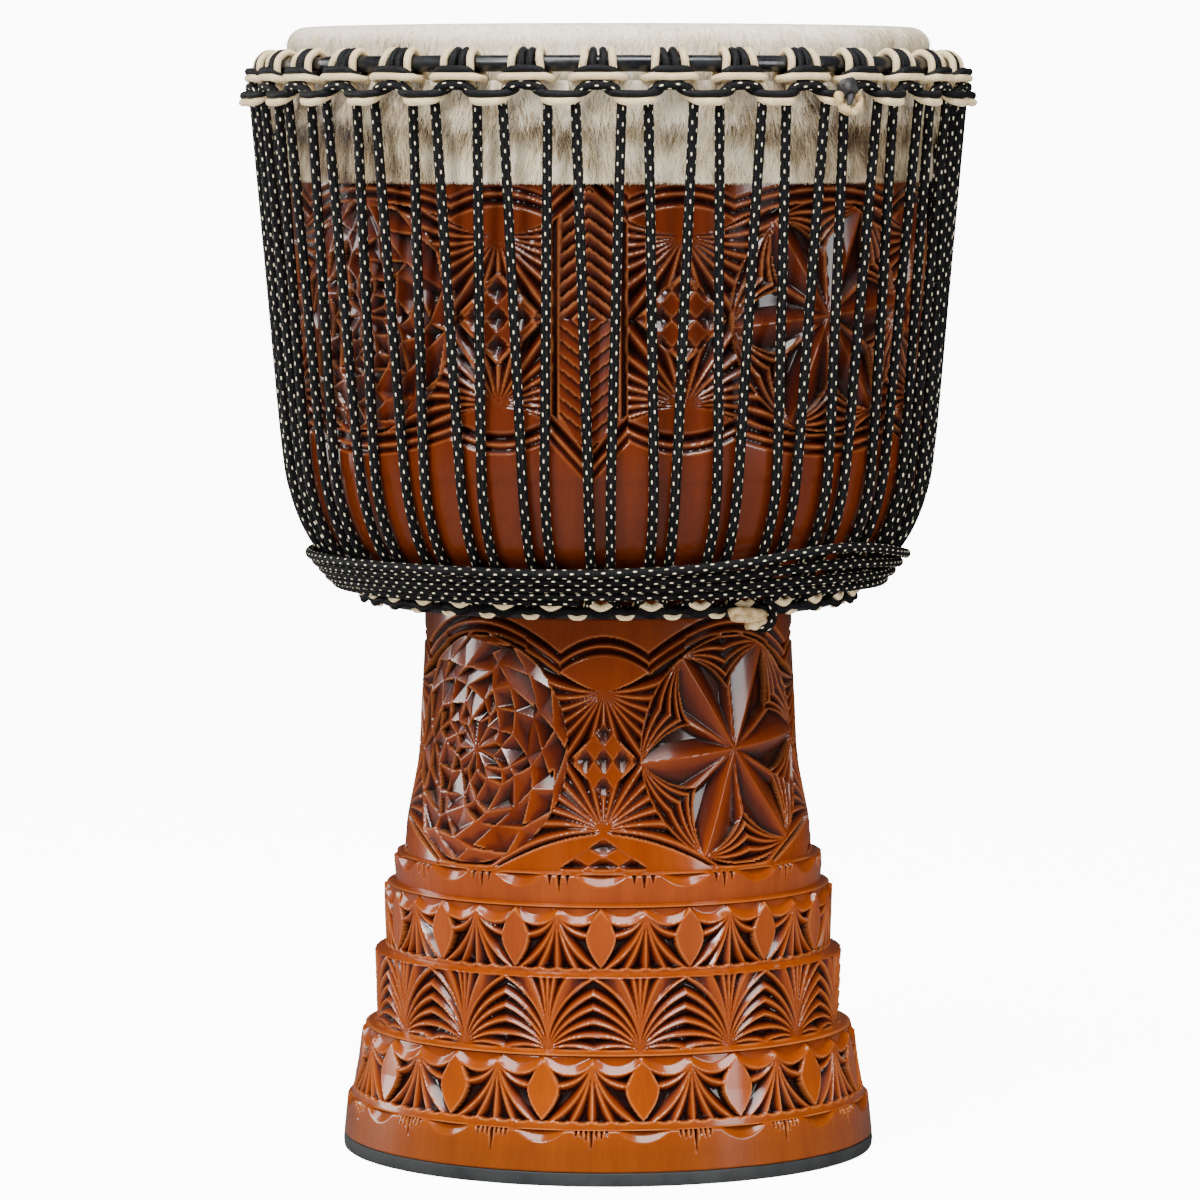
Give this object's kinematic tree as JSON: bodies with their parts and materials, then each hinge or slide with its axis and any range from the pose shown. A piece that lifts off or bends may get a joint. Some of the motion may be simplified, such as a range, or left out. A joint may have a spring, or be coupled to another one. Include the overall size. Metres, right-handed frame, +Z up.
{
  "type": "djembe",
  "caption": "Goblet hand drum with a carved wooden shell, a hair-on goatskin head and rope tensioning between steel rings.",
  "frame": {"origin": "centre of the foot, on the surface the drum stands on", "axes": "+Z up along the drum's axis, -Y towards the viewer of the front, +X to that viewer's right"},
  "size_m": [0.3948, 0.3946, 0.6],
  "materials": {
    "lacquered_wood": "hand-carved hardwood under gloss lacquer",
    "hair_hide": "goat hide with its short hair left on",
    "black_sleeve": "steel ring inside a smooth black sleeve",
    "plain_iron": "bare round steel bar, hidden in the hide",
    "black_cord": "woven polyester cord",
    "cream_cord": "woven polyester cord",
    "spotted_rope": "braided low-stretch rope, black with cream fleck",
    "foot_rubber": "glued rubber strip"
  },
  "bodies": {
    "root": {"shell": "lacquered_wood", "rubber_foot": "foot_rubber", "goat_skin": "hair_hide", "flesh_ring": "plain_iron", "crown_ring": "black_sleeve", "bottom_ring": "black_sleeve", "top_cord_black": "black_cord", "top_cord_cream": "cream_cord", "bottom_cord_black": "black_cord", "bottom_cord_cream": "cream_cord", "tension_rope": "spotted_rope", "waist_rope": "spotted_rope", "top_cord_joint": "black_cord", "bottom_cord_joint": "cream_cord"}
  },
  "joints": []
}
